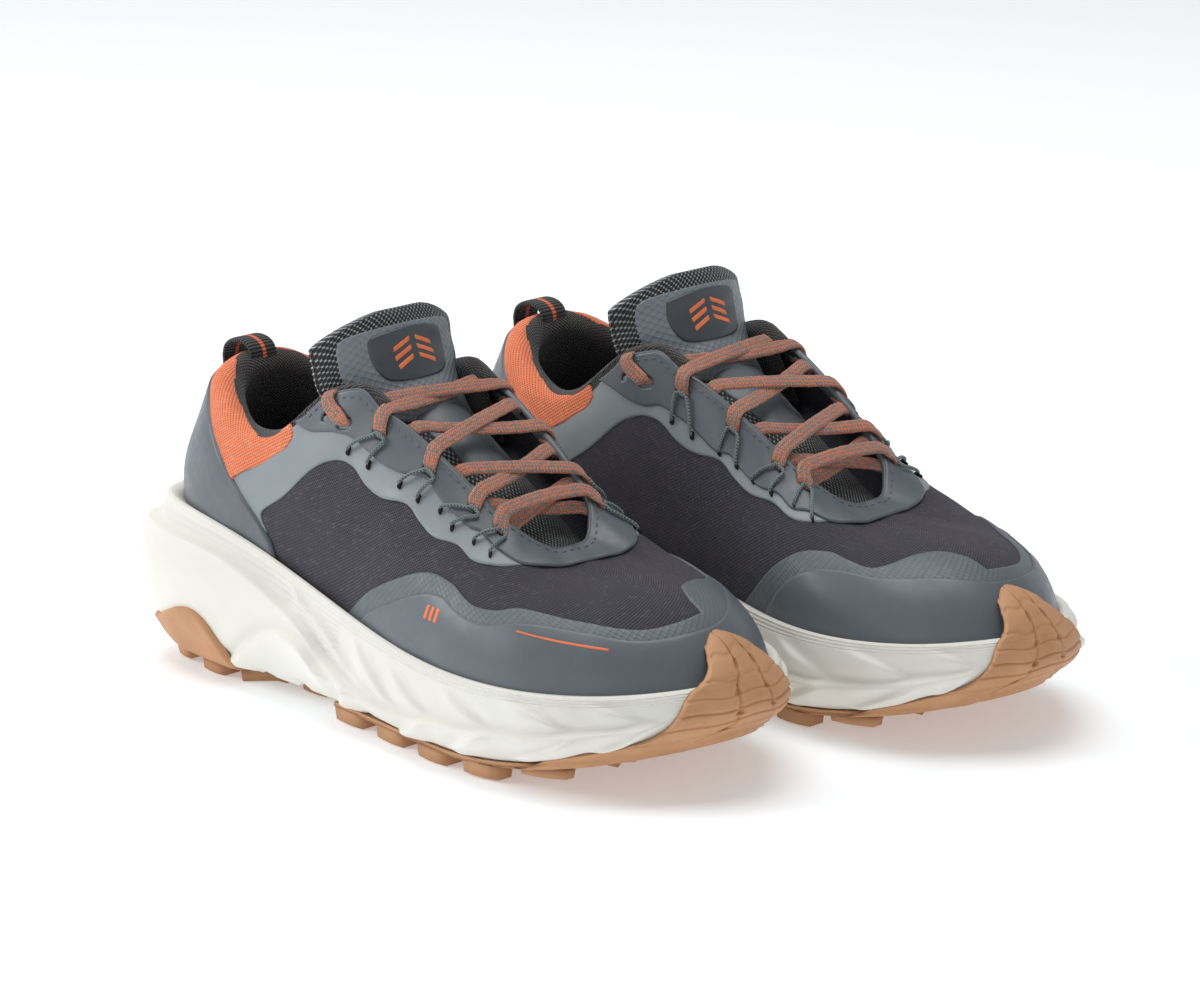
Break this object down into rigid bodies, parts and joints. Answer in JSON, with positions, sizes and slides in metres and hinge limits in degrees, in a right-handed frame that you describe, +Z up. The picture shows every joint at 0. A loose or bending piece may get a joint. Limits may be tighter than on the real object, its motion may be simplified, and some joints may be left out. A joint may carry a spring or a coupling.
{
  "type": "pair of low trail hiking shoes",
  "caption": "Pair of low-cut trail hiking shoes with lugged gum outsoles, thick foam midsoles, mesh uppers, film overlays, cord lace loops and flat laces.",
  "frame": {"origin": "centre of the bounding box of the pair in plan, on the ground under the tread lugs", "axes": "+X from heel to toe of both shoes, +Y from the right shoe to the left shoe, +Z up"},
  "size_m": [0.3242, 0.2348, 0.142],
  "materials": {
    "gum_rubber": "matt gum rubber with fine moulded grain",
    "cream_foam": "matt moulded foam",
    "board": "pale stitched non-woven board",
    "sock_fabric": "dark knitted top cloth on foam",
    "dark_mesh": "close knitted mesh with lighter flecks",
    "dark_film": "satin welded film with fine embossed grain",
    "light_film": "satin welded film",
    "orange_mesh": "fine woven mesh",
    "stiff_plastic": "stiff moulded sheet",
    "soft_foam": "open-cell foam",
    "lining_knit": "brushed knitted lining",
    "tongue_mesh": "open spacer mesh",
    "badge_film": "smooth welded film with a plain raised sign",
    "webbing": "ribbed woven webbing with one coloured stripe",
    "lace_braid": "flat braid in orange and grey yarns",
    "grey_cord": "thin round braided cord"
  },
  "bodies": {
    "right_shoe": {"right_outsole_forefoot": "gum_rubber", "right_outsole_heel": "gum_rubber", "right_midsole": "cream_foam", "right_strobel_board": "board", "right_sockliner": "sock_fabric", "right_upper_mesh": "dark_mesh", "right_toe_guard": "dark_film", "right_eyestay": "dark_film", "right_quarter_band_lateral": "light_film", "right_quarter_band_medial": "light_film", "right_heel_panel": "orange_mesh", "right_heel_clip": "dark_film", "right_heel_counter": "stiff_plastic", "right_toe_puff": "stiff_plastic", "right_collar_foam": "soft_foam", "right_collar_lining": "lining_knit", "right_tongue_base": "tongue_mesh", "right_lace_keeper": "dark_film", "right_pull_loop": "webbing", "right_lace": "lace_braid", "right_lace_loop_lateral_1": "grey_cord", "right_lace_loop_lateral_2": "grey_cord", "right_lace_loop_lateral_3": "grey_cord", "right_lace_loop_lateral_4": "grey_cord", "right_lace_loop_medial_1": "grey_cord", "right_lace_loop_medial_2": "grey_cord", "right_lace_loop_medial_3": "grey_cord", "right_lace_loop_medial_4": "grey_cord"},
    "right_tongue": {"right_tongue_top": "tongue_mesh", "right_tongue_badge": "badge_film"},
    "left_shoe": {"left_outsole_forefoot": "gum_rubber", "left_outsole_heel": "gum_rubber", "left_midsole": "cream_foam", "left_strobel_board": "board", "left_sockliner": "sock_fabric", "left_upper_mesh": "dark_mesh", "left_toe_guard": "dark_film", "left_eyestay": "dark_film", "left_quarter_band_lateral": "light_film", "left_quarter_band_medial": "light_film", "left_heel_panel": "orange_mesh", "left_heel_clip": "dark_film", "left_heel_counter": "stiff_plastic", "left_toe_puff": "stiff_plastic", "left_collar_foam": "soft_foam", "left_collar_lining": "lining_knit", "left_tongue_base": "tongue_mesh", "left_lace_keeper": "dark_film", "left_pull_loop": "webbing", "left_lace": "lace_braid", "left_lace_loop_lateral_1": "grey_cord", "left_lace_loop_lateral_2": "grey_cord", "left_lace_loop_lateral_3": "grey_cord", "left_lace_loop_lateral_4": "grey_cord", "left_lace_loop_medial_1": "grey_cord", "left_lace_loop_medial_2": "grey_cord", "left_lace_loop_medial_3": "grey_cord", "left_lace_loop_medial_4": "grey_cord"},
    "left_tongue": {"left_tongue_top": "tongue_mesh", "left_tongue_badge": "badge_film"}
  },
  "joints": [
    {"name": "left_shoe_lift", "type": "slide", "parent": "right_shoe", "child": "left_shoe", "axis": [0, 0, 1], "range_m": [0, 0.3]},
    {"name": "right_tongue_flex", "type": "hinge", "parent": "right_shoe", "child": "right_tongue", "pos_m": [-0.0418, -0.058, 0.12073], "axis": [0, 1, 0], "range_deg": [-8, 18], "stiffness_Nm_per_rad": 0.25},
    {"name": "left_tongue_flex", "type": "hinge", "parent": "left_shoe", "child": "left_tongue", "pos_m": [-0.0098, 0.058, 0.12073], "axis": [0, 1, 0], "range_deg": [-8, 18], "stiffness_Nm_per_rad": 0.25}
  ]
}
